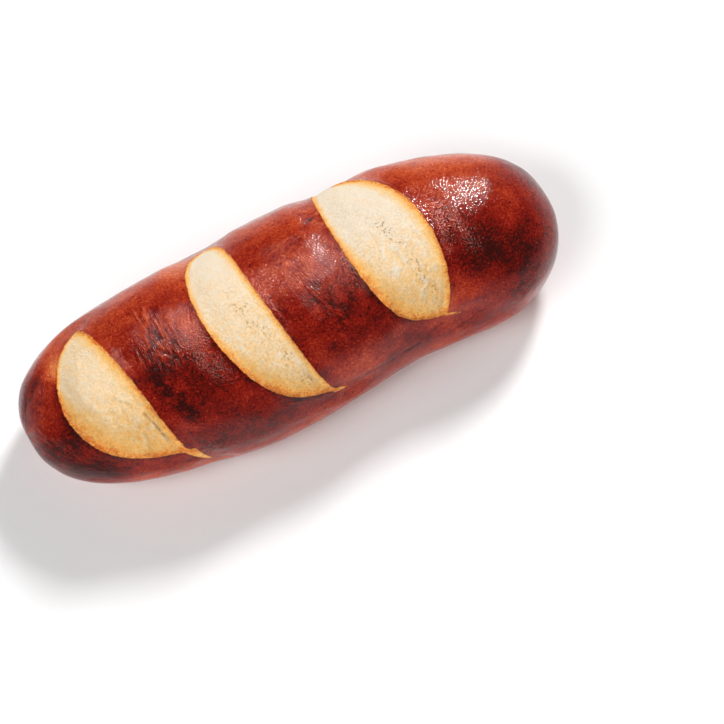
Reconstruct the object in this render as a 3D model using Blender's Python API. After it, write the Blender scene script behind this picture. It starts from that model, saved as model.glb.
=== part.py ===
"""A pretzel hot dog bun: a dark-crusted torpedo with three slanting slashes, where pale crumb has risen.

+X runs along the bun, +Z is up, and the origin is the middle of the flat base. A place on the bun is given by
its distance along it and a girth angle, which is measured round the bun from its top line: positive on the
far side (+Y) and negative on the near side (-Y).
"""

from typing import NamedTuple

import bmesh
import bpy
import numpy as np

MM = 0.001

# The loaf
LENGTH = 160 * MM
HEIGHT = 44 * MM
WIDEST_LEVEL = 17 * MM
BASE_TRIM = 1.2 * MM  # what the flat base takes off the rounded underside
STATIONS = np.array([-60, -30, 0, 30, 60]) * MM
FAR_HALF_WIDTHS = np.array([28.0, 26.7, 28.0, 28.5, 26.8]) * MM
NEAR_HALF_WIDTHS = np.array([28.7, 29.9, 29.0, 25.5, 29.8]) * MM
END_SWING = 1.3 * MM  # how far the left end turns to the far side, and the right end to the near side
TOP_SQUARENESS = 2.25  # the exponents of superellipses: 2 is an ellipse, and more is boxier
UNDERSIDE_SQUARENESS = 3.4
LEFT_BLUNTNESS = 2.8
LEFT_ROUNDNESS = 2.5
RIGHT_BLUNTNESS = 4.0
RIGHT_ROUNDNESS = 2.25
TOP_BLUNTNESS = 3.0
UNDERSIDE_BLUNTNESS = 4.5
MEAN_RADIUS = 28 * MM  # turns a girth angle into a distance over the surface


class Slash(NamedTuple):
    """A slash's outline: each point is a girth angle in degrees and a place along the bun in millimetres.

    Each edge is a Bezier curve from the far tip to the near tip, pulled by its two handles, and a tear runs on
    from the near tip to the tail.
    """

    far_tip: tuple
    near_tip: tuple
    left_handles: tuple
    right_handles: tuple
    tail: tuple


SLASHES = (
    Slash((46, -56), (-80.5, -43), ((46, -72), (-80, -82.4)), ((19, -53), (-53, -47.2)), (-112, -37)),
    Slash((62, -14), (-83.5, 1.2), ((61, -24.6), (-38, -41.8)), ((34.7, -7), (4.8, -15.1)), (-89, 5)),
    Slash((80, 22), (-70.5, 37.2), ((48, 13.7), (-66.5, 12)), ((27.4, 39), (16.6, 48)), (-75, 42)),
)
EDGE_POINTS = 50

# The relief of a slash, measured out of the loaf's surface
WAIST_DEPTH = 1.3 * MM  # the crust sinks this far towards a slash
WAIST_REACH = 9 * MM
TAIL_PULL = 1.0 * MM  # and further round its tail
TAIL_REACH = 24 * MM
EDGE_STEP = 0.3 * MM  # the crumb starts this far below the crust's edge
EDGE_SOFTNESS = 0.7 * MM
CRUMB_RISE = 1.6 * MM  # and rises this far to its middle
LEFT_REACH = 8 * MM
RIGHT_REACH = 13 * MM
RIGHT_DROP = 0.7  # the share of the rise that it loses again towards the right-hand edge
CREASE_DEPTH = 0.35 * MM  # it dips beside the right-hand crust, towards the near tip
CREASE_FROM_EDGE = 1.8 * MM
CREASE_WIDTH = 1.6 * MM
CREASE_START = 0.4
LIP_RISE = 0.25 * MM  # the right-hand crust's edge stands up
LIP_WIDTH = 2.5 * MM
OPENING = 6 * MM  # where the slash is narrower than this, towards its tips, its relief fades

# The mesh
GIRTH_SEGMENTS = 60
RINGS = (12, 10, 11, 11, 11, 12, 19)  # from one end to the other, with a slash's edges between them
RING_CROWDING = 0.5  # 0 spaces the rings evenly, and towards 1 they crowd at the slashes' edges
TOP_CROWDING = 0.3  # the same for the segments, which crowd at the top line
LEAST_BAND = 4 * MM  # the rings of a slash's two edges stay this far apart past its tips

CRUST_COLOUR = (0.20, 0.028, 0.014)
CRUMB_COLOUR = (0.83, 0.62, 0.36)


def smooth_curve(at, places, values):
    """A smooth curve through the values at those places, level beyond the first and the last."""
    slopes = np.gradient(values, places)
    k = np.clip(np.searchsorted(places, at) - 1, 0, len(places) - 2)
    span = places[k + 1] - places[k]
    t = np.clip((at - places[k]) / span, 0, 1)
    from_start = (1 + 2 * t) * (1 - t) ** 2 * values[k] + t * (1 - t) ** 2 * span * slopes[k]
    to_end = t * t * (3 - 2 * t) * values[k + 1] - t * t * (1 - t) * span * slopes[k + 1]
    return from_start + to_end


def smooth_step(value, start, end):
    """0 up to the start, rising smoothly to 1 at the end."""
    t = np.clip((value - start) / (end - start), 0, 1)
    return t * t * (3 - 2 * t)


def end_cap(along, bluntness, roundness=2):
    """1 in the middle of the bun, closing to 0 at its ends."""
    return (1 - np.clip(np.abs(2 * along / LENGTH), 0, 1) ** bluntness) ** (1 / roundness)


def half_width(along, across):
    """Half the bun's width there, on the side that across points to."""
    far = smooth_curve(along, STATIONS, FAR_HALF_WIDTHS)
    near = smooth_curve(along, STATIONS, NEAR_HALF_WIDTHS)
    left_cap = end_cap(along, LEFT_BLUNTNESS, LEFT_ROUNDNESS)
    right_cap = end_cap(along, RIGHT_BLUNTNESS, RIGHT_ROUNDNESS)
    return np.where(across > 0, far, near) * np.where(along < 0, left_cap, right_cap)


def loaf_points(along, girth):
    """Points of the loaf before it is slashed: a superellipse all along it, closed by the end caps."""
    across, upward = np.sin(girth), np.cos(girth)
    squareness = np.where(upward > 0, TOP_SQUARENESS, UNDERSIDE_SQUARENESS)
    radius = (np.abs(across) ** squareness + np.abs(upward) ** squareness) ** (-1 / squareness)
    above = (HEIGHT - WIDEST_LEVEL) * end_cap(along, TOP_BLUNTNESS)
    below = (WIDEST_LEVEL + BASE_TRIM) * end_cap(along, UNDERSIDE_BLUNTNESS)
    sideways = half_width(along, across) * radius * across - END_SWING * (2 * along / LENGTH) ** 3
    level = WIDEST_LEVEL + np.where(upward > 0, above, below) * radius * upward
    return np.stack([along, sideways, level], axis=1)


def bezier(start, handles, end):
    """Girth angles in radians, and places along the bun, of points on a slash's edge."""
    t = np.linspace(0, 1, EDGE_POINTS)[:, None]
    weights = np.hstack([(1 - t) ** 3, 3 * t * (1 - t) ** 2, 3 * t * t * (1 - t), t**3])
    angles, places = (weights @ np.array([start, *handles, end])).T
    return np.radians(angles), places * MM


def slash_edges(slash):
    sides = (slash.left_handles, slash.right_handles)
    return [bezier(slash.far_tip, handles, slash.near_tip) for handles in sides]


def tail_line(slash):
    angles, places = np.array([slash.near_tip, slash.tail]).T
    return np.radians(angles), places * MM


def crossings(slash, girth):
    """Where those girth angles cross a slash's two edges. Round the underside both lead to its other tip."""
    return [np.interp(girth, angles, places, period=2 * np.pi) for angles, places in slash_edges(slash)]


def distance_to_edge(along, girth, edge):
    """How far over the surface each place is from a slash's edge."""
    places = np.stack([along, MEAN_RADIUS * girth], axis=1)[:, None]
    corners = np.stack([edge[1], MEAN_RADIUS * edge[0]], axis=1)
    starts, runs = corners[:-1], np.diff(corners, axis=0)
    share = np.clip(((places - starts) * runs).sum(axis=2) / (runs**2).sum(axis=1), 0, 1)
    return np.linalg.norm(places - starts - share[:, :, None] * runs, axis=2).min(axis=1)


def bump(distance, reach):
    """1 at no distance, falling smoothly to 0 at the reach."""
    return (1 - np.clip(distance / reach, 0, 1) ** 2) ** 2


def slash_relief(slash, along, girth):
    """How far a slash lifts the loaf's surface at each place, and which places are crumb."""
    from_left, from_right = (distance_to_edge(along, girth, edge) for edge in slash_edges(slash))
    from_tail = distance_to_edge(along, girth, tail_line(slash))
    left, right = crossings(slash, girth)
    between_tips = (girth < np.radians(slash.far_tip[0])) & (girth > np.radians(slash.near_tip[0]))
    is_crumb = between_tips & (along > left) & (along < right)
    from_edge = np.minimum(from_left, from_right)
    rise = (1 - bump(from_left, LEFT_REACH)) * (1 - RIGHT_DROP * bump(from_right, RIGHT_REACH))
    step = 1 - bump(from_edge, EDGE_SOFTNESS)
    down = np.radians(slash.far_tip[0]) - girth
    down /= np.radians(slash.far_tip[0] - slash.near_tip[0])
    crease = bump(np.abs(from_right - CREASE_FROM_EDGE), CREASE_WIDTH) * smooth_step(down, CREASE_START, 1)
    crumb = CRUMB_RISE * rise - EDGE_STEP * step - CREASE_DEPTH * crease
    crust = LIP_RISE * bump(from_right, LIP_WIDTH) * (from_right < from_left)
    waist = -WAIST_DEPTH * np.where(is_crumb, 1, bump(np.minimum(from_edge, from_tail), WAIST_REACH))
    pull = -TAIL_PULL * bump(from_tail, TAIL_REACH)
    openness = 1 - bump(right - left, OPENING)
    return waist + pull + openness * np.where(is_crumb, crumb, crust), is_crumb


def crowded(share):
    """Moves shares of a band towards its two ends."""
    return share - RING_CROWDING * np.sin(2 * np.pi * share) / (2 * np.pi)


def place_rings(ring, girth):
    """How far along the bun each ring lies at those girth angles: it follows the slashes' edges.

    Places are given here as shares of a half turn, which crowds the rings towards the ends.
    """
    marks = [np.full_like(girth, -1)]
    for slash in SLASHES:
        left, right = crossings(slash, girth)
        half_band = ((right - left) ** 4 + LEAST_BAND**4) ** 0.25 / 2
        middle = (left + right) / 2
        marks += [2 / np.pi * np.arcsin(2 * (middle + side * half_band) / LENGTH) for side in (-1, 1)]
    marks = np.stack([*marks, np.full_like(girth, 1)])
    last = np.cumsum(RINGS)
    band = np.clip(np.searchsorted(last, ring), 0, len(RINGS) - 1)
    share = (ring - (last - RINGS)[band]) / np.array(RINGS)[band]
    share = np.select(
        [band == 0, band == len(RINGS) - 1],
        [2 * crowded(0.5 + share / 2) - 1, 2 * crowded(share / 2)],
        crowded(share),
    )
    here = np.arange(len(ring))
    start, end = marks[band, here], marks[band + 1, here]
    return LENGTH / 2 * np.sin(np.pi / 2 * (start + share * (end - start)))


def vertex_values(mesh, name):
    values = np.empty(3 * len(mesh.vertices))
    mesh.vertices.foreach_get(name, values)
    return values.reshape(-1, 3)


def set_places(mesh, places):
    mesh.vertices.foreach_set("co", places.ravel())
    mesh.update()


def shape_bun(mesh):
    """Moulds a sphere, whose rings run from pole to pole, into the slashed bun.

    Returns the crumb's vertices.
    """
    x, y, z = vertex_values(mesh, "co").T
    ring = np.round(np.arccos(np.clip(z, -1, 1)) / np.pi * sum(RINGS))
    girth = np.arctan2(y, x)
    girth -= TOP_CROWDING * np.sin(girth)
    along = place_rings(ring, girth)
    loaf = loaf_points(along, girth)
    set_places(mesh, loaf)
    relief, is_crumb = np.zeros_like(along), np.zeros(len(along), bool)
    for slash in SLASHES:
        more, inside = slash_relief(slash, along, girth)
        relief += more
        is_crumb |= inside
    bun = loaf + relief[:, None] * vertex_values(mesh, "normal")
    bun[:, 2] = np.maximum(bun[:, 2], 0)
    bun[:, :2] -= (bun[:, :2].min(axis=0) + bun[:, :2].max(axis=0)) / 2
    set_places(mesh, bun)
    return is_crumb


def material(name, colour, roughness):
    made = bpy.data.materials.new(name)
    made.use_nodes = True
    shader = made.node_tree.nodes["Principled BSDF"]
    shader.inputs["Base Color"].default_value = (*colour, 1)
    shader.inputs["Roughness"].default_value = roughness
    made.diffuse_color = (*colour, 1)
    return made


def make_bun(collection):
    bm = bmesh.new()
    bmesh.ops.create_uvsphere(bm, u_segments=GIRTH_SEGMENTS, v_segments=sum(RINGS), radius=1)
    mesh = bpy.data.meshes.new("bun")
    bm.to_mesh(mesh)
    bm.free()
    is_crumb = shape_bun(mesh)
    mesh.materials.append(material("crust", CRUST_COLOUR, 0.35))
    mesh.materials.append(material("crumb", CRUMB_COLOUR, 0.8))
    for face in mesh.polygons:
        face.material_index = int(is_crumb[list(face.vertices)].mean() >= 0.5)
    mesh.shade_smooth()
    collection.objects.link(bpy.data.objects.new("bun", mesh))


def main():
    for old in list(bpy.data.objects):
        bpy.data.objects.remove(old)
    collection = bpy.data.collections.new("pretzel_hot_dog_bun")
    bpy.context.scene.collection.children.link(collection)
    make_bun(collection)


if __name__ == "__main__":
    main()
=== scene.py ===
"""The looks of a pretzel hot dog bun: glossy lye crust, pale risen crumb, and the studio round them.

The bun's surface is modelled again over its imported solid, finely enough for wrinkles, torn edges and pores.
+X runs along the bun, +Z is up and +Y is the far side. A place on the bun is given by its distance along it
and a girth angle, measured round the bun from its top line: positive on the far side, negative on the near
side. The form is worked out in millimetres, and the finished mesh is in metres.
"""

import functools
from typing import NamedTuple

import bmesh
import bpy
import numpy as np
from mathutils import Matrix, Vector, noise

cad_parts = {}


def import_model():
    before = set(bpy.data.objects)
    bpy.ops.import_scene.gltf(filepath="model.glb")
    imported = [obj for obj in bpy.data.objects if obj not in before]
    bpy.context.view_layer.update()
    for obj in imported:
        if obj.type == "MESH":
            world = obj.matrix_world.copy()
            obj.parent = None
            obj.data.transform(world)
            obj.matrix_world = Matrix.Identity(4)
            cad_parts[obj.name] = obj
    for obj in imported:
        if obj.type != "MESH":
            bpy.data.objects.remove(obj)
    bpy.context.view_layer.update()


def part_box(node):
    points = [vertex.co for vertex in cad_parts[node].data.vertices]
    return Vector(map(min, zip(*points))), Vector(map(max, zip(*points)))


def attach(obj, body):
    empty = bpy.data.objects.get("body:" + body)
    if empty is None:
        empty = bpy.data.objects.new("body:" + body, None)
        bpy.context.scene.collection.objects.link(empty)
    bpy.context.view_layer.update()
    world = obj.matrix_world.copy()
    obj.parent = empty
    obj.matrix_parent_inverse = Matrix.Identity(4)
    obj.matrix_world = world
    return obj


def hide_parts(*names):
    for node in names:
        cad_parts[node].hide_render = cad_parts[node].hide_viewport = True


MM = 0.001

# ---------------------------------------------------------------- the loaf, in millimetres

LENGTH = 160.0
HEIGHT = 44.0
WIDEST_LEVEL = 17.0
BASE_TRIM = 1.2
STATIONS = np.array([-60.0, -30.0, 0.0, 30.0, 60.0])
FAR_HALF_WIDTHS = np.array([28.0, 26.7, 28.0, 28.5, 26.8])
NEAR_HALF_WIDTHS = np.array([28.7, 29.9, 29.0, 25.5, 29.8])
END_SWING = 1.3  # how far the left end turns to the far side, and the right end to the near side
TOP_SQUARENESS = 2.25  # the exponents of superellipses: 2 is an ellipse, and more is boxier
UNDERSIDE_SQUARENESS = 3.4
LEFT_BLUNTNESS = 2.8
LEFT_ROUNDNESS = 2.5
RIGHT_BLUNTNESS = 4.0
RIGHT_ROUNDNESS = 2.25
TOP_BLUNTNESS = 3.0
UNDERSIDE_BLUNTNESS = 4.5
MEAN_RADIUS = 28.0  # turns a girth angle into a distance over the surface


class Slash(NamedTuple):
    """A slash's outline: each point is a girth angle in degrees and a place along the bun in millimetres.

    Each edge is a Bezier curve from the far tip to the near tip, pulled by its two handles. A tear runs on
    from the near tip to the tail.
    """

    far_tip: tuple
    near_tip: tuple
    left_handles: tuple
    right_handles: tuple
    tail: tuple
    tear_half_width: float  # where the tear starts


SLASHES = (
    Slash((46, -56), (-80.5, -43), ((46, -72), (-80, -82.4)), ((19, -53), (-53, -47.2)), (-112, -37), 1.6),
    Slash((62, -14), (-83.5, 1.2), ((61, -24.6), (-38, -41.8)), ((34.7, -7), (4.8, -15.1)), (-89, 5), 1.1),
    Slash((80, 22), (-70.5, 37.2), ((48, 13.7), (-66.5, 12)), ((27.4, 39), (16.6, 48)), (-75, 42), 0.8),
)
EDGE_POINTS = 80
TEAR_TAPER = 0.7  # the exponent of a tear's taper: 1 is straight, and less is blunter

# The relief of a slash, measured out of the loaf's surface
WAIST_DEPTH = 1.3  # the crust sinks this far towards a slash
WAIST_REACH = 9.0
TAIL_PULL = 1.0  # and further round its tail
TAIL_REACH = 24.0
EDGE_STEP = 0.3  # the crumb starts this far below the crust's edge
EDGE_SOFTNESS = 0.7
CRUMB_RISE = 1.6  # and rises this far to its middle
LEFT_REACH = 8.0
RIGHT_REACH = 13.0
RIGHT_DROP = 0.7  # the share of the rise that it loses again towards the right-hand edge
CREASE_DEPTH = 0.35  # it dips beside the right-hand crust, towards the near tip
CREASE_FROM_EDGE = 1.8
CREASE_WIDTH = 1.6
CREASE_START = 0.4
LIP_RISE = 0.25  # the right-hand crust's edge stands up
LIP_WIDTH = 2.5
OPENING = 6.0  # where the slash is narrower than this, towards its tips, its relief fades

# The mesh
GIRTH_SEGMENTS = 240
RINGS = (56, 46, 76, 48, 60, 52, 62)  # in each band of the bun, where bands meet at the slashes' edges
RING_CROWDING = 0.3  # 0 spaces the rings evenly, and towards 1 they crowd at the slashes' edges
TOP_CROWDING = 0.42  # the same for the segments, which crowd at the top line
LEAST_BAND = 4.0  # the rings of a slash's two edges stay this far apart past its tips

SEED_SHIFT = 31.7  # each seed reads the noise this much further on


def smooth_curve(at, places, values):
    """A smooth curve through the values at those places, level beyond the first and the last."""
    slopes = np.gradient(values, places)
    k = np.clip(np.searchsorted(places, at) - 1, 0, len(places) - 2)
    span = places[k + 1] - places[k]
    t = np.clip((at - places[k]) / span, 0, 1)
    from_start = (1 + 2 * t) * (1 - t) ** 2 * values[k] + t * (1 - t) ** 2 * span * slopes[k]
    to_end = t * t * (3 - 2 * t) * values[k + 1] - t * t * (1 - t) * span * slopes[k + 1]
    return from_start + to_end


def smooth_step(value, start, end):
    """0 up to the start, rising smoothly to 1 at the end. The end may be the lower of the two."""
    t = np.clip((value - start) / (end - start), 0, 1)
    return t * t * (3 - 2 * t)


def bump(distance, reach):
    """1 at no distance, falling smoothly to 0 at the reach."""
    return (1 - np.clip(distance / reach, 0, 1) ** 2) ** 2


def noise_field(places, size, seed, octaves=2, chosen=None):
    """Noise of about -1 to 1 whose lumps are about that size, in millimetres.

    The size is one number, or one for each axis. Where only some places are chosen, it is 0 at the rest.
    """
    chosen = np.ones(len(places), bool) if chosen is None else chosen
    values = np.zeros(len(places))
    scaled = places[chosen] / size + SEED_SHIFT * seed
    values[chosen] = [noise.fractal(Vector(place), 1.0, 2.0, octaves) for place in scaled]
    return values


def end_cap(along, bluntness, roundness=2):
    """1 in the middle of the bun, closing to 0 at its ends."""
    return (1 - np.clip(np.abs(2 * along / LENGTH), 0, 1) ** bluntness) ** (1 / roundness)


def half_width(along, across):
    """Half the bun's width there, on the side that across points to."""
    far = smooth_curve(along, STATIONS, FAR_HALF_WIDTHS)
    near = smooth_curve(along, STATIONS, NEAR_HALF_WIDTHS)
    left_cap = end_cap(along, LEFT_BLUNTNESS, LEFT_ROUNDNESS)
    right_cap = end_cap(along, RIGHT_BLUNTNESS, RIGHT_ROUNDNESS)
    return np.where(across > 0, far, near) * np.where(along < 0, left_cap, right_cap)


def loaf_points(along, girth):
    """Points of the loaf before it is slashed: a superellipse all along it, closed by the end caps."""
    across, upward = np.sin(girth), np.cos(girth)
    squareness = np.where(upward > 0, TOP_SQUARENESS, UNDERSIDE_SQUARENESS)
    radius = (np.abs(across) ** squareness + np.abs(upward) ** squareness) ** (-1 / squareness)
    above = (HEIGHT - WIDEST_LEVEL) * end_cap(along, TOP_BLUNTNESS)
    below = (WIDEST_LEVEL + BASE_TRIM) * end_cap(along, UNDERSIDE_BLUNTNESS)
    sideways = half_width(along, across) * radius * across - END_SWING * (2 * along / LENGTH) ** 3
    level = WIDEST_LEVEL + np.where(upward > 0, above, below) * radius * upward
    return np.stack([along, sideways, level], axis=1)


def bezier(start, handles, end):
    """Girth angles in radians, and places along the bun, of points on a slash's edge."""
    t = np.linspace(0, 1, EDGE_POINTS)[:, None]
    weights = np.hstack([(1 - t) ** 3, 3 * t * (1 - t) ** 2, 3 * t * t * (1 - t), t**3])
    angles, places = (weights @ np.array([start, *handles, end])).T
    return np.radians(angles), places


def slash_edges(slash):
    """Its left-hand and its right-hand edge."""
    sides = (slash.left_handles, slash.right_handles)
    return [bezier(slash.far_tip, handles, slash.near_tip) for handles in sides]


def crossings(slash, girth):
    """Where those girth angles cross a slash's two edges.

    Round the underside, where the slash doesn't reach, both edges run on to its other tip.
    """
    return [np.interp(girth, angles, places, period=2 * np.pi) for angles, places in slash_edges(slash)]


def distance_to_line(along, girth, line):
    """How far over the surface each place is from a line, and at what share of the line that is."""
    angles, marks = line
    nearest, share_there = np.full_like(along, np.inf), np.zeros_like(along)
    corners = np.stack([marks, MEAN_RADIUS * angles], axis=1)
    for number, (start, end) in enumerate(zip(corners[:-1], corners[1:])):
        run = end - start
        x, y = along - start[0], MEAN_RADIUS * girth - start[1]
        share = np.clip((x * run[0] + y * run[1]) / (run @ run), 0, 1)
        distance = np.hypot(x - share * run[0], y - share * run[1])
        share_there = np.where(distance < nearest, (number + share) / (len(corners) - 1), share_there)
        nearest = np.minimum(nearest, distance)
    return nearest, share_there


def surface_line(points):
    """A line through points that are each a girth angle in degrees and a place along in millimetres."""
    angles, marks = np.array(points).T
    return np.radians(angles), marks


class Gash(NamedTuple):
    """What each place on the bun knows of one slash. Distances are in millimetres."""

    inside: np.ndarray  # whether the place is crumb
    from_left: np.ndarray  # the distance from its left-hand edge
    from_right: np.ndarray
    from_tail: np.ndarray
    left: np.ndarray  # where the edges cross the place's girth angle
    right: np.ndarray
    down: np.ndarray  # 0 at the far tip, 1 at the near tip
    depth: np.ndarray  # the distance in from the nearest edge or into the tear, negative outside


def read_gash(slash, along, girth):
    """Measures each place against a slash and its tear."""
    (from_left, _), (from_right, _) = (distance_to_line(along, girth, edge) for edge in slash_edges(slash))
    from_tail, down_tail = distance_to_line(along, girth, surface_line((slash.near_tip, slash.tail)))
    left, right = crossings(slash, girth)
    far, near = np.radians(slash.far_tip[0]), np.radians(slash.near_tip[0])
    inside = (girth < far) & (girth > near) & (along > left) & (along < right)
    depth = np.minimum(from_left, from_right) * np.where(inside, 1, -1)
    depth = np.maximum(depth, slash.tear_half_width * (1 - down_tail) ** TEAR_TAPER - from_tail)
    down = (far - girth) / (far - near)
    return Gash(inside, from_left, from_right, from_tail, left, right, down, depth)


def gash_relief(gash):
    """How far a slash lifts the loaf's surface at each place."""
    from_edge = np.minimum(gash.from_left, gash.from_right)
    rise = (1 - bump(gash.from_left, LEFT_REACH)) * (1 - RIGHT_DROP * bump(gash.from_right, RIGHT_REACH))
    step = 1 - bump(from_edge, EDGE_SOFTNESS)
    crease = bump(np.abs(gash.from_right - CREASE_FROM_EDGE), CREASE_WIDTH)
    crease *= smooth_step(gash.down, CREASE_START, 1)
    crumb = CRUMB_RISE * rise - EDGE_STEP * step - CREASE_DEPTH * crease
    crust = LIP_RISE * bump(gash.from_right, LIP_WIDTH) * (gash.from_right < gash.from_left)
    waist_bump = bump(np.minimum(from_edge, gash.from_tail), WAIST_REACH)
    waist = -WAIST_DEPTH * np.where(gash.inside, 1, waist_bump)
    pull = -TAIL_PULL * bump(gash.from_tail, TAIL_REACH)
    openness = 1 - bump(gash.right - gash.left, OPENING)
    return waist + pull + openness * np.where(gash.inside, crumb, crust)


def crowded(share):
    """Moves shares of a band towards its two ends."""
    return share - RING_CROWDING * np.sin(2 * np.pi * share) / (2 * np.pi)


def place_rings(ring, girth):
    """How far along the bun each ring lies at those girth angles: it follows the slashes' edges.

    Places are given here as shares of a half turn, which crowds the rings towards the ends.
    """
    marks = [np.full_like(girth, -1)]
    for slash in SLASHES:
        left, right = crossings(slash, girth)
        half_band = ((right - left) ** 4 + LEAST_BAND**4) ** 0.25 / 2  # the wider of the two, with no kink
        middle = (left + right) / 2
        marks += [2 / np.pi * np.arcsin(2 * (middle + side * half_band) / LENGTH) for side in (-1, 1)]
    marks = np.stack([*marks, np.full_like(girth, 1)])
    last = np.cumsum(RINGS)
    band = np.clip(np.searchsorted(last, ring), 0, len(RINGS) - 1)
    share = (ring - (last - RINGS)[band]) / np.array(RINGS)[band]
    share = np.select(
        [band == 0, band == len(RINGS) - 1],
        [2 * crowded(0.5 + share / 2) - 1, 2 * crowded(share / 2)],
        crowded(share),
    )
    here = np.arange(len(ring))
    start, end = marks[band, here], marks[band + 1, here]
    return LENGTH / 2 * np.sin(np.pi / 2 * (start + share * (end - start)))


# ---------------------------------------------------------------- the surface's detail

EDGE_WOBBLE = 0.2  # how far a slash's torn edge strays from its curve
EDGE_WOBBLE_SIZE = 2.5
TIP_WOBBLE = 0.5  # and how far near its tips
TIP_REACH = 0.3  # in radians
CRUST_FROM = (0.2, -1.0)  # the crust's detail sets in from the first of these depths to the second
CRUMB_FROM = (0.2, 2.0)  # and so does the crumb's
LUMP_HEIGHT = 0.32  # the broad unevenness of the crust
LUMP_SIZE = np.array([18.0, 12.0, 12.0])
DIMPLE_HEIGHT = 0.05
DIMPLE_SIZE = 3.5
CRUMB_LUMP_HEIGHT = 0.22
CRUMB_LUMP_SIZE = 6.0
CRUMB_GRAIN_HEIGHT = 0.18
CRUMB_GRAIN_SIZE = 1.7
SKIN_PITCH = 1.5  # folded skin lies low in each slash, and its folds follow the right-hand edge
SKIN_LENGTH = 5.0
SKIN_STRAY = 1.6
SKIN_STRAY_SIZE = 5.0
SKIN_SINK = 0.6  # the valleys of its folds lie this share of its height below the crumb
SKIN_FROM = (0.35, 0.7)  # it sets in between these shares of the way down
SLASH_RUN = 55.0  # about how far it is from a slash's far tip to its near tip


class Wrinkles(NamedTuple):
    """A patch of folds in the crust, which run along a line over the bun."""

    line: tuple  # points of a girth angle in degrees and a place along the bun in millimetres
    offset: float  # how far from the line the patch's middle is
    reach: float  # and how far from its middle it extends
    pitch: float  # of the folds, and so on
    length: float
    height: float
    fine: float  # how strong the finest folds are, which the material adds


WRINKLES = (
    Wrinkles(((14, -40.5), (-8, -40)), 0, 9, 1.4, 9, 0.34, 1.0),  # between the first slash and the second
    Wrinkles(((4, 4), (-30, 10)), 0, 10, 2.0, 7, 0.16, 0.7),  # between the second and the third
    Wrinkles(((16, -4), (32, 17)), 0, 6, 1.9, 9, 0.24, 0.5),  # and on the far side there, lengthwise
    # On the left end, round the first slash's left-hand edge
    Wrinkles(((20, -68), (-20, -71), (-55, -65), (-77, -55), (-81, -44)), 8, 8, 1.4, 12, 0.10, 1.0),
    Wrinkles(((-70, -12), (-88, 2)), 0, 8, 1.8, 9, 0.16, 0.5),  # low on the near side, in the middle
    Wrinkles(((-70, 60), (-90, 40)), 0, 10, 2.0, 9, 0.10, 0.4),  # and at the right end
)
FOLD_SPACING = 0.7  # of the noise that the folds are made of, as a share of their pitch and length
FOLD_ROUNDING = 0.8  # below 1 it rounds their ridges
FOLD_GAIN = 2.5  # a fold is the noise times the gain, less the sink, as a share of the patch's height
FOLD_SINK = 0.8
FOLD_STRAY = 0.9  # how far they stray sideways
FOLD_STRAY_SIZE = 8.0
PATCH_GAP = 9.0  # the size of the gaps in a patch
PATCH_GAP_EDGES = (-0.6, 0.2)
FINE_PITCH = 0.55  # of the material's folds
FINE_LENGTH = 5.0


class Crease(NamedTuple):
    """A single groove in the crust, along a line over the bun."""

    line: tuple
    depth: float
    width: float


CREASES = (
    Crease(((-75, 37), (-84, 27), (-83, 18), (-81, 7)), 0.3, 0.5),  # runs on from the third slash's tear
    Crease(((15, -2), (20, 10)), 0.15, 1.1),  # two between the second slash and the third
    Crease(((21, 8), (35, 16)), 0.15, 1.1),
)
CREASE_GAP = 3.0  # the size of the gaps in a crease
CREASE_GAP_EDGES = (-0.5, 0.2)

SLIT = ((-37, -51), (-47, -49.4), (-56, -48), (-63, -46.6))  # a groove in the first slash's crumb, which the material also darkens as painted shade
SLIT_DEPTH = 0.5
SLIT_WIDTH = 0.6


class Folds(NamedTuple):
    """Folds at each place of the bun: their height, and where in its patch the place is."""

    height: np.ndarray
    across: np.ndarray
    down: np.ndarray
    fine: np.ndarray


def read_wrinkles(wrinkles, loaf, along, girth, seed):
    """The folds of a patch: noise that is drawn out along its line, and fades towards the patch's edge."""
    line = surface_line(wrinkles.line)
    distance, share = distance_to_line(along, girth, line)
    angles, marks = line
    runs = np.hypot(np.diff(marks), MEAN_RADIUS * np.diff(angles))
    # Round a bent line the folds go with it, and along a straight one they run on past its ends
    if len(runs) > 1:
        across, down = distance, share * runs.sum()
    else:
        heading = np.array([np.diff(marks)[0], MEAN_RADIUS * np.diff(angles)[0]]) / runs[0]
        across = along * heading[1] - MEAN_RADIUS * girth * heading[0]
        down = along * heading[0] + MEAN_RADIUS * girth * heading[1]
    strength = bump(np.abs(distance - wrinkles.offset), wrinkles.reach)
    chosen = strength > 0
    strength *= smooth_step(noise_field(loaf, PATCH_GAP, seed + 1, chosen=chosen), *PATCH_GAP_EDGES)
    across = across + FOLD_STRAY * noise_field(loaf, FOLD_STRAY_SIZE, seed, chosen=chosen)
    drawn = np.stack([across / wrinkles.pitch, down / wrinkles.length, 0 * across], axis=1)
    rounded = np.abs(noise_field(drawn, FOLD_SPACING, seed + 2, chosen=chosen)) ** FOLD_ROUNDING
    height = wrinkles.height * strength * (FOLD_GAIN * rounded - FOLD_SINK)
    return Folds(height, across, down, strength * wrinkles.fine)


def pick(records, which):
    """Makes one record of the same places: at each place it has the values of the record of that number."""
    here = np.arange(len(which))
    return records[0]._make(np.stack(values)[which, here] for values in zip(*records))


def all_wrinkles(loaf, along, girth):
    """The sum of the patches' heights, with the rest from the patch that is strongest at the place."""
    patches = [read_wrinkles(w, loaf, along, girth, 10 + 3 * k) for k, w in enumerate(WRINKLES)]
    strongest = np.stack([folds.fine for folds in patches]).argmax(axis=0)
    return pick(patches, strongest)._replace(height=sum(folds.height for folds in patches))


def all_creases(loaf, along, girth):
    """How deep the creases are at each place."""
    broken = smooth_step(noise_field(loaf, CREASE_GAP, seed=8), *CREASE_GAP_EDGES)
    lines = [(crease, distance_to_line(along, girth, surface_line(crease.line))[0]) for crease in CREASES]
    return broken * sum(crease.depth * bump(distance, crease.width) for crease, distance in lines)
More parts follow.
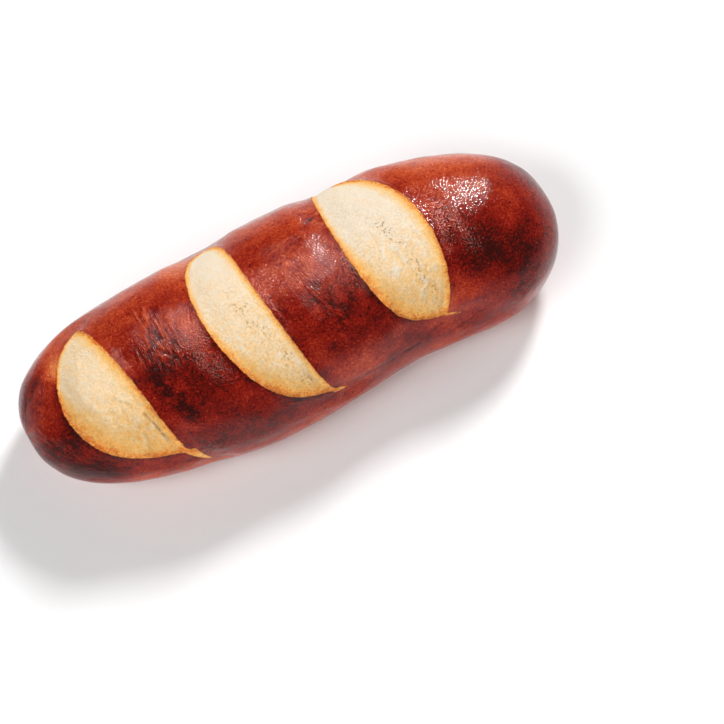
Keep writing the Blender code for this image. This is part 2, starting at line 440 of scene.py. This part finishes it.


# ---------------------------------------------------------------- how brown it is baked, with painted shade and sheen

# How brown the crust is by the girth angle, from the underside up the near side and down the far side again:
# 0 is golden and 1 scorched
BROWNING_ANGLES, BROWNING = np.array(
    [
        (-180, 0.42),
        (-125, 0.55),
        (-95, 0.73),
        (-85, 0.82),
        (-72, 0.84),
        (-58, 0.82),
        (-48, 0.83),
        (-35, 0.87),
        (-22, 0.86),
        (-8, 0.80),
        (7, 0.73),
        (28, 0.67),
        (42, 0.60),
        (60, 0.57),
        (95, 0.72),
        (180, 0.42),
    ]
).T
END_LEVELS = np.array([0.0, 8.0, 20.0, 44.0])  # at the bun's two ends it goes by the height instead
END_BROWNING = np.array([0.42, 0.72, 0.83, 0.78])
END_REACH = (64.0, 77.0)  # the ends set in between these distances from the bun's middle


class Tone(NamedTuple):
    """A patch of crust that is darker, or paler where it is negative, than what is round it. Most are baked
    more or less; some paler ones lie where a sheen falls and are partly painted sheen.
    """

    girth: float
    along: float
    around: float  # the patch's reach round the bun and along it, in millimetres
    lengthwise: float
    browner: float


TONES = (
    # The left end, with a pale corner beside the first slash's far tip
    Tone(26, -66, 10, 6, -0.40),
    Tone(-5, -76, 14, 10, -0.06),
    Tone(-48, -73, 11, 9, 0.12),
    Tone(-85, -72, 22, 16, 0.20),
    # Between the first slash and the second
    Tone(50, -24, 12, 9, -0.16),
    Tone(22, -36, 8, 8, 0.04),
    # These three paler patches lie where the sheen falls: partly paler crust, partly painted sheen
    Tone(0, -29, 7, 5, -0.12),
    Tone(-6, -49, 5, 4, -0.14),
    Tone(-20, -27, 6, 6, -0.08),
    Tone(-46, -37, 8, 8, 0.06),
    # Between the second and the third
    Tone(26, 12, 13, 6, -0.06),
    # These paler patches lie along the sheen here: partly paler crust, partly painted sheen
    Tone(6, 6, 10, 9, -0.05),
    Tone(2, 0, 9, 12, -0.09),
    Tone(4, 15, 8, 5, -0.10),
    Tone(-4, 6, 9, 9, -0.05),
    Tone(-12, 10, 8, 8, -0.05),
    Tone(-30, 16, 7, 7, -0.06),
    # The right end, which is paler on the far side and darkest near the third slash
    Tone(36, 54, 17, 20, -0.16),
    Tone(-10, 66, 9, 10, -0.12),
    Tone(-18, 60, 9, 7, -0.08),
    Tone(-24, 53, 14, 18, 0.13),
    Tone(-33, 50, 9, 9, 0.06),
    Tone(-46, 65, 11, 10, 0.12),
    # Beside and below the near ends of the second and the third slash
    Tone(-46, -2, 8, 6, -0.18),
    Tone(-74, 7, 14, 13, -0.24),
    Tone(-51, 43, 8, 9, -0.14),
    Tone(-66, 33, 10, 9, -0.20),
    Tone(-72, 40, 14, 14, -0.12),
)
SCORCH = ((-15, -43.4), (-26, -43.1), (-35, -41.3), (-47, -40))  # a streak to the right of the first slash
SCORCH_WIDTH = 4.2
SCORCH_BROWNER = 0.19
SCORCH_RAG_SIZE = 2.2  # its edges are ragged
SCORCH_RAG_EDGES = (-0.8, 0.3)
EDGE_WIDTH = 2.4  # the width of the painted shade on the crust along the left of each slash
EDGE_PAINTED_SHADE = 0.12
EDGE_FROM = (0.5, 0.1)  # it sets in between these girth angles, in radians
# Painted shade in creases and fold hollows, and painted light on fold ridges
HOLLOW_PAINTED_SHADE = 0.24
FULL_HOLLOW = 0.25  # a crease or fold this deep, in millimetres, gets the full painted shade


def toned(along, girth):
    """The sum of the tones at each place."""
    total = np.zeros_like(along)
    for tone in TONES:
        around = MEAN_RADIUS * (girth - np.radians(tone.girth)) / tone.around
        total += tone.browner * bump(np.hypot(around, (along - tone.along) / tone.lengthwise), 1)
    return total


def browning_and_shade(along, girth, loaf, hollow_shade, from_left):
    """How brown the crust is at each place, with painted shade along each slash's left edge and in creases
    and fold hollows. The hollow shade is from -1 on ridges, where it is painted light, to 1 in full hollows.
    """
    baked = smooth_curve(np.degrees(girth), BROWNING_ANGLES, BROWNING)
    at_end = smooth_step(np.abs(along), *END_REACH)
    baked += at_end * (np.interp(loaf[:, 2], END_LEVELS, END_BROWNING) - baked)
    # painted shade on the crust beside each slash's left-hand edge
    edge_shade = EDGE_PAINTED_SHADE * bump(from_left, EDGE_WIDTH) * smooth_step(girth, *EDGE_FROM)
    from_scorch, _ = distance_to_line(along, girth, surface_line(SCORCH))
    near_scorch = from_scorch < SCORCH_WIDTH
    rags = noise_field(loaf, SCORCH_RAG_SIZE, seed=50, octaves=3, chosen=near_scorch)
    scorched = SCORCH_BROWNER * smooth_step(rags, *SCORCH_RAG_EDGES) * bump(from_scorch, SCORCH_WIDTH)
    return baked + toned(along, girth) + edge_shade + HOLLOW_PAINTED_SHADE * hollow_shade + scorched


# ---------------------------------------------------------------- the crumb


class CrumbLook(NamedTuple):
    """The look of one slash's crumb. The way down it is 0 at its far tip and 1 at its near tip."""

    skin_height: float  # of the folded skin that lies low in the slash
    left_margins: tuple  # how far in the golden margin reaches on the left, at the far tip and the near tip
    widening: tuple  # that margin widens between these shares of the way down
    right_margin: float
    palest: tuple  # at each of PALEST_DOWN: 1 is the palest of all
    pitted: float
    pits_from_right: tuple  # a strip of pits lies this far from the right-hand edge, at each of PITS_DOWN


CRUMB_LOOKS = (
    CrumbLook(0.55, (1.2, 20.0), (0.25, 0.8), 5.0, (0.74, 0.74, 0.32), 0.15, (5.0, 5.0)),
    CrumbLook(0.25, (2.0, 13.0), (0.4, 0.9), 2.8, (1.0, 0.78, 0.62), 1.0, (6.5, 2.5)),
    CrumbLook(0.35, (2.0, 12.5), (0.4, 0.9), 4.6, (1.0, 1.0, 0.45), 1.0, (13.5, 3.5)),
)
PALEST_DOWN = (0.1, 0.45, 0.9)
PITS_DOWN = (0.4, 0.95)
PITS_FROM = (0.25, 0.5)  # the pits set in between these shares of the way down
PITS_REACH = (3.5, 1.0)  # and between these distances from the middle of their strip
COARSE_FROM = (0.1, 0.7)  # the crumb gets coarser between these shares of the way down
SKIN_PALER = 0.3  # the ridges of the folded skin are paler by this share of their height


class CrumbField(NamedTuple):
    """A slash's crumb at each place."""

    height: np.ndarray
    left_margin: np.ndarray
    right_margin: np.ndarray
    palest: np.ndarray
    pitted: np.ndarray
    coarse: np.ndarray


def read_crumb(look, gash, loaf, chosen):
    """The crumb of a slash: it has lumps and grain, and low in the slash a skin lies over it in folds."""
    lumps = CRUMB_LUMP_HEIGHT * noise_field(loaf, CRUMB_LUMP_SIZE, seed=5, chosen=chosen)
    grain = CRUMB_GRAIN_HEIGHT * noise_field(loaf, CRUMB_GRAIN_SIZE, seed=6, chosen=chosen)
    stray = SKIN_STRAY * noise_field(loaf, SKIN_STRAY_SIZE, seed=41, chosen=chosen)
    across = (gash.from_right + stray) / SKIN_PITCH
    drawn = np.stack([across, SLASH_RUN * gash.down / SKIN_LENGTH, 0 * across], axis=1)
    skin = 2 * np.abs(noise_field(drawn, 1.0, seed=42, chosen=chosen)) - SKIN_SINK
    skin *= smooth_step(gash.down, *SKIN_FROM)

    far_margin, near_margin = look.left_margins
    from_pits = np.abs(gash.from_right - np.interp(gash.down, PITS_DOWN, look.pits_from_right))
    in_strip = smooth_step(gash.down, *PITS_FROM) * smooth_step(from_pits, *PITS_REACH)
    return CrumbField(
        height=lumps + grain + look.skin_height * skin,
        left_margin=far_margin + (near_margin - far_margin) * smooth_step(gash.down, *look.widening),
        right_margin=np.full_like(gash.down, look.right_margin),
        palest=np.interp(gash.down, PALEST_DOWN, look.palest) + SKIN_PALER * skin,
        pitted=look.pitted * in_strip,
        coarse=smooth_step(gash.down, *COARSE_FROM),
    )


# ---------------------------------------------------------------- the mesh


def bun_vertices():
    """The ring and the girth angle of each vertex: the left pole, all round each ring, and the right pole."""
    rings = sum(RINGS)
    turns = np.pi * (2 * np.arange(1, GIRTH_SEGMENTS + 1) / GIRTH_SEGMENTS - 1)
    ring = np.hstack([0, np.repeat(np.arange(1, rings), GIRTH_SEGMENTS), rings])
    turn = np.hstack([0, np.tile(turns, rings - 1), 0])
    return ring, turn - TOP_CROWDING * np.sin(turn)


def bun_faces():
    """Triangles round the two poles, and quads between the rings."""
    left_pole, right_pole = 0, (sum(RINGS) - 1) * GIRTH_SEGMENTS + 1
    here = np.arange(1, right_pole).reshape(-1, GIRTH_SEGMENTS)
    onward = np.roll(here, -1, axis=1)  # the next vertex round the ring
    left_cap = np.stack([np.full(GIRTH_SEGMENTS, left_pole), here[0], onward[0]], axis=1)
    right_cap = np.stack([np.full(GIRTH_SEGMENTS, right_pole), onward[-1], here[-1]], axis=1)
    quads = np.stack([here[:-1], here[1:], onward[1:], onward[:-1]], axis=-1).reshape(-1, 4)
    return left_cap.tolist() + quads.tolist() + right_cap.tolist()


def vertex_normals(mesh):
    normals = np.empty(3 * len(mesh.vertices))
    mesh.vertices.foreach_get("normal", normals)
    return normals.reshape(-1, 3)


def fit_to_box(places, low, high):
    """Moves and stretches the places so that they fill that box."""
    own_low, own_high = places.min(axis=0), places.max(axis=0)
    return low + (places - own_low) * (high - low) / (own_high - own_low)


def read_gashes(along, girth, loaf):
    """Each slash, with edges that stray as torn ones do."""
    wobble = noise_field(loaf, EDGE_WOBBLE_SIZE, seed=7)
    gashes = []
    for slash in SLASHES:
        near, far = np.radians(slash.near_tip[0]), np.radians(slash.far_tip[0])
        at_tips = bump(np.minimum(np.abs(girth - near), np.abs(girth - far)), TIP_REACH)
        stray = wobble * (EDGE_WOBBLE + (TIP_WOBBLE - EDGE_WOBBLE) * at_tips)
        gashes.append(read_gash(slash, along + stray, girth))
    return gashes


def shape_bun(mesh):
    """Fills the mesh with the loaf, and moves its surface in and out along its normals into the slashed bun.

    Each vertex is also marked with what the material has to know of its place.
    """
    ring, girth = bun_vertices()
    along = place_rings(ring, girth)
    loaf = loaf_points(along, girth)
    mesh.from_pydata(loaf.tolist(), [], bun_faces())
    normals = vertex_normals(mesh)

    gashes = read_gashes(along, girth, loaf)
    nearest = np.stack([gash.depth for gash in gashes]).argmax(axis=0)
    gash = pick(gashes, nearest)
    crumbs = [
        read_crumb(look, own_gash, loaf, chosen=(nearest == number) & (own_gash.depth > 0))
        for number, (look, own_gash) in enumerate(zip(CRUMB_LOOKS, gashes))
    ]
    crumb = pick(crumbs, nearest)
    folds = all_wrinkles(loaf, along, girth)
    creases = all_creases(loaf, along, girth)
    lumps = LUMP_HEIGHT * noise_field(loaf, LUMP_SIZE, seed=1)
    lumps += DIMPLE_HEIGHT * noise_field(loaf, DIMPLE_SIZE, seed=2)
    slit = bump(distance_to_line(along, girth, surface_line(SLIT))[0], SLIT_WIDTH)

    relief = sum(gash_relief(gash) for gash in gashes)
    relief += smooth_step(gash.depth, *CRUST_FROM) * (lumps + folds.height - creases)
    relief += smooth_step(gash.depth, *CRUMB_FROM) * crumb.height
    relief -= SLIT_DEPTH * slit
    bun = loaf + relief[:, None] * normals
    bun[:, 2] = np.maximum(bun[:, 2], 0)  # the flat base
    low, high = (np.array(corner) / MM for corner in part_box("bun"))
    mesh.vertices.foreach_set("co", (fit_to_box(bun, low, high) * MM).ravel())
    mesh.update()

    # painted shade in creases and fold hollows, and painted light on fold ridges
    hollow_shade = np.clip((creases - folds.height) / FULL_HOLLOW, -1, 1)
    marks = {
        "depth": gash.depth,
        "from_left": gash.from_left,
        "from_right": gash.from_right,
        "left_margin": crumb.left_margin,
        "right_margin": crumb.right_margin,
        "palest": crumb.palest,
        "pitted": crumb.pitted,
        "coarse": crumb.coarse,
        "slit": slit,
        "browning_and_shade": browning_and_shade(along, girth, loaf, hollow_shade, gash.from_left),
        "fold_across": folds.across / FINE_PITCH,
        "fold_down": folds.down / FINE_LENGTH,
        "fold_fine": folds.fine,
    }
    for name, values in marks.items():
        attribute = mesh.attributes.new(name, "FLOAT", "POINT")
        attribute.data.foreach_set("value", np.asarray(values, np.float32))


# ---------------------------------------------------------------- the material


class Nodes:
    """Adds nodes to a material's tree and links them, so that a texture reads as a formula."""

    def __init__(self, tree):
        self.tree = tree

    def add(self, kind, inputs=None, **settings):
        """A new node. An input that is another node's socket is linked, and any other is a fixed value."""
        node = self.tree.nodes.new(kind)
        for name, value in settings.items():
            setattr(node, name, value)
        for name, value in (inputs or {}).items():
            if isinstance(value, bpy.types.NodeSocket):
                self.tree.links.new(value, node.inputs[name])
            else:
                node.inputs[name].default_value = value
        return node

    def attribute(self, name):
        return self.add("ShaderNodeAttribute", attribute_name=name).outputs["Fac"]

    def math(self, operation, first, second=0.0):
        return self.add("ShaderNodeMath", {0: first, 1: second}, operation=operation).outputs[0]

    def total(self, *values):
        return functools.reduce(lambda first, second: self.math("ADD", first, second), values)

    def product(self, *values):
        return functools.reduce(lambda first, second: self.math("MULTIPLY", first, second), values)

    def least(self, *values):
        return functools.reduce(lambda first, second: self.math("MINIMUM", first, second), values)

    def noise(self, coordinates, scale, detail=2.0, roughness=0.5):
        """Noise of 0 to 1, whose scale is in lumps to the metre."""
        inputs = {"Vector": coordinates, "Scale": scale, "Detail": detail, "Roughness": roughness}
        return self.add("ShaderNodeTexNoise", inputs).outputs["Fac"]

    def range(self, value, low, high, to_low=0.0, to_high=1.0, smooth=True):
        """Goes from to_low to to_high as the value goes from low to high, and stays level beyond them."""
        kind = "SMOOTHSTEP" if smooth else "LINEAR"
        inputs = {"Value": value, "From Min": low, "From Max": high, "To Min": to_low, "To Max": to_high}
        return self.add("ShaderNodeMapRange", inputs, interpolation_type=kind).outputs["Result"]

    def mottle(self, coordinates, scale, detail, roughness, reach, amount, smooth=True):
        """Noise of -amount to amount, which it gets to where plain noise is that reach from its middle."""
        noise = self.noise(coordinates, scale, detail, roughness)
        return self.range(noise, 0.5 - reach, 0.5 + reach, -amount, amount, smooth)

    def ramp(self, value, stops):
        """A colour ramp through stops of (place, red, green, blue)."""
        node = self.add("ShaderNodeValToRGB", {"Fac": value})
        elements = node.color_ramp.elements
        while len(elements) < len(stops):
            elements.new(0.5)
        for element, (place, *colour) in zip(elements, stops):
            element.position = place
            element.color = (*colour, 1)
        return node.outputs["Color"]

    def mix(self, share, first, second):
        """One colour turning into another."""
        inputs = {"Factor": share, 6: first, 7: second}
        return self.add("ShaderNodeMix", inputs, data_type="RGBA").outputs[2]

    def blend(self, share, first, second):
        """One number turning into another."""
        inputs = {0: share, 2: first, 3: second}
        return self.add("ShaderNodeMix", inputs, data_type="FLOAT").outputs[0]


BAKED = (  # the crust from golden to scorched
    (0.0, 0.90, 0.42, 0.11),
    (0.2, 0.74, 0.24, 0.065),
    (0.4, 0.56, 0.10, 0.030),
    (0.5, 0.47, 0.065, 0.019),
    (0.6, 0.37, 0.038, 0.012),
    (0.7, 0.27, 0.019, 0.008),
    (0.8, 0.19, 0.009, 0.005),
    (0.88, 0.135, 0.006, 0.0035),
    (0.95, 0.075, 0.005, 0.0035),
    (1.0, 0.03, 0.005, 0.004),
)
CRUMB_TONES = (  # the crumb from its torn edge in to its palest
    (0.0, 0.72, 0.17, 0.025),
    (0.07, 0.92, 0.33, 0.050),
    (0.24, 0.96, 0.52, 0.14),
    (0.6, 0.95, 0.66, 0.34),
    (1.0, 0.93, 0.80, 0.63),
)
# Painted shade in the crumb's pits, slit and pores
PIT_SHADE_COLOUR = (0.42, 0.24, 0.09, 1)
PIT_STRENGTH = 0.75
PORE_SHADE_COLOUR = (0.55, 0.36, 0.17, 1)
PORE_STRENGTH = 0.38
# Painted shade in the valleys of the fine folds
FOLD_PAINTED_SHADE = 0.16
FOLD_VALLEY = 0.07  # painted shade darkens the fine folds where their height, of 0 to 0.5, is below this
TORN = 0.25  # how far the torn edge of the crumb strays, in millimetres
CRUMB_EDGE = (-0.08, 0.12)  # crust turns into crumb between these depths
TIP_MARGIN = 1.5  # the golden margin in from the tips and round the tears, in millimetres

FOLD_BUMP = 0.0010  # the heights of the bumps, in metres
LEATHER_BUMP = 0.00014
PORE_BUMP = 0.0008
PIT_BUMP = 0.0003
CRUST_ROUGHNESS = (0.07, 0.13)
CRUMB_ROUGHNESS = 0.85
SPECULAR_LEVEL = 0.16


def crust_colour(n, coordinates, fold_valley_shade):
    """The colour of the crust, which noise of five sizes bakes more or less, with painted shade in the
    valleys of the fine folds.
    """
    broad = n.mottle(coordinates, 60, 3, 0.5, 0.20, 0.06)
    medium = n.mottle(coordinates, 260, 3, 0.6, 0.25, 0.06)
    grain = n.mottle(coordinates, 1500, 5, 0.8, 0.20, 0.20, smooth=False)
    specks = n.range(n.noise(coordinates, 700), 0.64, 0.72, 0, 0.18)
    flecks = n.range(n.noise(coordinates, 1900, 1), 0.66, 0.74, 0, -0.2)
    folds = n.product(fold_valley_shade, FOLD_PAINTED_SHADE)
    return n.ramp(n.total(n.attribute("browning_and_shade"), broad, medium, grain, specks, flecks, folds), BAKED)


def crumb_colour(n, coordinates, depth, pits):
    """The colour of the crumb, from its golden margins in to its palest, with painted shade darkening its
    pores and pits.
    """
    past_left = n.math("DIVIDE", n.attribute("from_left"), n.attribute("left_margin"))
    past_right = n.math("DIVIDE", n.attribute("from_right"), n.attribute("right_margin"))
    inward = n.least(past_left, past_right, n.math("DIVIDE", depth, TIP_MARGIN), n.attribute("palest"))
    mottled = n.mottle(coordinates, 420, 5, 0.7, 0.20, 0.15, smooth=False)
    grain = n.mottle(coordinates, 1700, 3, 0.8, 0.16, 0.14, smooth=False)
    colour = n.ramp(n.least(n.total(inward, mottled, grain), 1.0), CRUMB_TONES)
    # painted shade in the pores
    pores = n.range(n.noise(coordinates, 1300, 4, 0.8), 0.45, 0.62, smooth=False)
    shaded = n.mix(n.product(pores, n.attribute("coarse"), PORE_STRENGTH), colour, PORE_SHADE_COLOUR)
    return n.mix(n.product(pits, PIT_STRENGTH), shaded, PIT_SHADE_COLOUR)


def bread_material():
    """Glossy crust and matt crumb in one material, which the marks on the mesh tell apart."""
    material = bpy.data.materials.new("pretzel_bread")
    material.use_nodes = True
    tree = material.node_tree
    shader = tree.nodes["Principled BSDF"]
    n = Nodes(tree)
    coordinates = n.add("ShaderNodeTexCoord").outputs["Object"]
    depth = n.attribute("depth")
    torn = n.mottle(coordinates, 1800, 3, 0.5, 0.5, TORN)
    is_crumb = n.range(n.total(depth, torn), *CRUMB_EDGE)

    grouped = n.range(n.noise(coordinates, 350), 0.38, 0.54)
    # the pits and the slit are sunk by the bump and darkened with painted shade
    pits = n.product(n.range(n.noise(coordinates, 1500), 0.57, 0.65), grouped, n.attribute("pitted"))
    pits = n.math("MAXIMUM", pits, n.product(n.attribute("slit"), grouped))

    fold_place = n.add("ShaderNodeCombineXYZ", {0: n.attribute("fold_across"), 1: n.attribute("fold_down")})
    fold = n.math("ABSOLUTE", n.math("SUBTRACT", n.noise(fold_place.outputs[0], 1.0), 0.5))
    fold_fine = n.attribute("fold_fine")
    # painted shade where the fine folds are lowest
    fold_valley_shade = n.product(n.range(fold, FOLD_VALLEY, 0.0), fold_fine)

    crust = crust_colour(n, coordinates, fold_valley_shade)
    crumb = crumb_colour(n, coordinates, depth, pits)
    shine = n.range(n.noise(coordinates, 250, 3, 0.6), 0.3, 0.7, *CRUST_ROUGHNESS)

    leather = n.product(n.noise(coordinates, 1850, 1), LEATHER_BUMP)
    crust_height = n.total(n.product(fold, fold_fine, FOLD_BUMP), leather)
    pores = n.product(n.noise(coordinates, 1500, 4, 0.65), PORE_BUMP)
    crumb_height = n.math("SUBTRACT", pores, n.product(pits, PIT_BUMP))
    height = n.blend(is_crumb, crust_height, crumb_height)
    bumped = n.add("ShaderNodeBump", {"Height": height, "Strength": 1.0, "Distance": 1.0})

    tree.links.new(n.mix(is_crumb, crust, crumb), shader.inputs["Base Color"])
    tree.links.new(n.blend(is_crumb, shine, CRUMB_ROUGHNESS), shader.inputs["Roughness"])
    tree.links.new(bumped.outputs["Normal"], shader.inputs["Normal"])
    shader.inputs["Specular IOR Level"].default_value = SPECULAR_LEVEL
    return material


def make_bun():
    """The bread, in one piece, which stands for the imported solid."""
    mesh = bpy.data.meshes.new("bread")
    shape_bun(mesh)
    mesh.materials.append(bread_material())
    mesh.shade_smooth()
    bread = bpy.data.objects.new("bread", mesh)
    bpy.context.scene.collection.objects.link(bread)
    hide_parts("bun")
    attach(bread, "root")


# ---------------------------------------------------------------- the studio

VIEW_AZIMUTH = -27.1  # the camera's: 0 looks along +Y, and positive turns it towards +X
VIEW_ELEVATION = 68.0
VIEW_DISTANCE = 0.9
PIXELS_PER_MM = 3.62  # of the photograph, which is 724 pixels square
PHOTO_SIDE = 724
BUN_PIXEL = (291.3, 313.4)  # where the photograph shows the middle of the bun
BUN_MIDDLE = Vector((0, 0, 0.020))
SENSOR_MM = 36.0


def level_axes(backwards):
    """The right and the up of a thing that faces away from backwards and is held level."""
    right = Vector((0, 0, 1)).cross(backwards).normalized()
    return right, backwards.cross(right)


def aim(thing, place, target):
    """Puts a camera or a light there, pointing at the target."""
    backwards = (place - target).normalized()
    right, up = level_axes(backwards)
    thing.matrix_world = Matrix.Translation(place) @ Matrix((right, up, backwards)).transposed().to_4x4()


def direction(azimuth, elevation):
    """The way from the bun towards a place: azimuth turns from +X to +Y."""
    a, e = np.radians(azimuth), np.radians(elevation)
    return Vector((np.cos(a) * np.cos(e), np.sin(a) * np.cos(e), np.sin(e)))


def make_camera():
    """Sees the bun from where the photograph did, at the same place and size in the frame."""
    camera = bpy.data.objects.new("camera", bpy.data.cameras.new("camera"))
    bpy.context.scene.collection.objects.link(camera)
    backwards = direction(VIEW_AZIMUTH - 90, VIEW_ELEVATION)
    right, up = level_axes(backwards)
    millimetre = MM / PIXELS_PER_MM
    to_right = (PHOTO_SIDE / 2 - BUN_PIXEL[0]) * millimetre
    upwards = (BUN_PIXEL[1] - PHOTO_SIDE / 2) * millimetre
    target = BUN_MIDDLE + to_right * right + upwards * up
    aim(camera, target + VIEW_DISTANCE * backwards, target)
    camera.data.sensor_width = SENSOR_MM
    camera.data.lens = SENSOR_MM * PIXELS_PER_MM * VIEW_DISTANCE / MM / PHOTO_SIDE
    bpy.context.scene.camera = camera


class Lamp(NamedTuple):
    """A soft box. It either lights the bread or is only mirrored in its crust, as a sheen."""

    name: str
    azimuth: float
    elevation: float
    distance: float
    size: tuple
    watts: float
    colour: tuple
    mirrored: bool  # and otherwise it lights the bread


WHITE = (1.0, 1.0, 1.0)
BLUSH = (1.0, 0.84, 0.80)
EMBER = (1.0, 0.60, 0.50)
LAMPS = (
    Lamp("key", 42, 42, 1.3, (0.30, 0.30), 16.5, WHITE, False),
    Lamp("left_fill", -165, 48, 1.5, (1.2, 0.8), 16.5, WHITE, False),
    Lamp("near_fill", -85, 18, 1.5, (1.2, 0.5), 10, WHITE, False),
    Lamp("highlight", 40, 32, 1.3, (0.10, 0.10), 23, BLUSH, True),
    Lamp("sheen_1", 122, 60, 1.3, (0.16, 0.16), 8, EMBER, True),
    Lamp("sheen_2", 64, 61, 1.3, (0.20, 0.20), 10, EMBER, True),
    Lamp("sheen_3", 32, 63, 1.3, (0.22, 0.22), 8, EMBER, True),
    Lamp("sheen_4", -26, 62, 1.3, (0.20, 0.20), 4, EMBER, True),
)


def make_lamp(lamp):
    data = bpy.data.lights.new(lamp.name, "AREA")
    data.shape = "ELLIPSE"
    data.size, data.size_y = lamp.size
    data.energy = lamp.watts
    data.color = lamp.colour
    light = bpy.data.objects.new(lamp.name, data)
    light.visible_glossy = lamp.mirrored
    light.visible_diffuse = not lamp.mirrored
    bpy.context.scene.collection.objects.link(light)
    aim(light, BUN_MIDDLE + lamp.distance * direction(lamp.azimuth, lamp.elevation), BUN_MIDDLE)


HORIZON_GLOW = 0.13
OVERHEAD_GLOW = 0.012
GLOW_FALLS = (0.1, 0.75)  # from the one to the other, between these sines of the elevation
FLOOR_HALF_SIZE = 3.0
FLOOR_PALE = 0.86  # near the bun
FLOOR_DIM = 0.25  # and far from it
FLOOR_FALLS = (0.14, 0.30)  # from pale to dim, between these distances from the middle, in metres
FLOOR_ROUGHNESS = 0.9
FLOOR_SPECULAR_LEVEL = 0.1


def make_world():
    """Pale all round the horizon, and dark overhead, so that the crust stays deep."""
    world = bpy.data.worlds.new("studio")
    world.use_nodes = True
    bpy.context.scene.world = world
    n = Nodes(world.node_tree)
    ray = n.add("ShaderNodeTexCoord").outputs["Generated"]
    height = n.add("ShaderNodeSeparateXYZ", {0: ray}).outputs["Z"]
    glow = n.range(height, *GLOW_FALLS, HORIZON_GLOW, OVERHEAD_GLOW)
    world.node_tree.links.new(glow, world.node_tree.nodes["Background"].inputs["Color"])


def make_floor():
    """A floor that is pale round the bun, and dimmer further out, where the crust would mirror it."""
    bm = bmesh.new()
    bmesh.ops.create_grid(bm, x_segments=1, y_segments=1, size=FLOOR_HALF_SIZE)
    mesh = bpy.data.meshes.new("floor")
    bm.to_mesh(mesh)
    bm.free()
    material = bpy.data.materials.new("pale_floor")
    material.use_nodes = True
    shader = material.node_tree.nodes["Principled BSDF"]
    n = Nodes(material.node_tree)
    place = n.add("ShaderNodeTexCoord").outputs["Object"]
    from_middle = n.add("ShaderNodeVectorMath", {0: place}, operation="LENGTH").outputs["Value"]
    paleness = n.range(from_middle, *FLOOR_FALLS, FLOOR_PALE, FLOOR_DIM)
    material.node_tree.links.new(paleness, shader.inputs["Base Color"])
    shader.inputs["Roughness"].default_value = FLOOR_ROUGHNESS
    shader.inputs["Specular IOR Level"].default_value = FLOOR_SPECULAR_LEVEL
    mesh.materials.append(material)
    floor = bpy.data.objects.new("floor", mesh)
    bpy.context.scene.collection.objects.link(floor)


def main():
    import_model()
    make_bun()
    make_camera()
    make_world()
    make_floor()
    for lamp in LAMPS:
        make_lamp(lamp)
    bpy.context.scene.view_settings.view_transform = "Standard"


main()
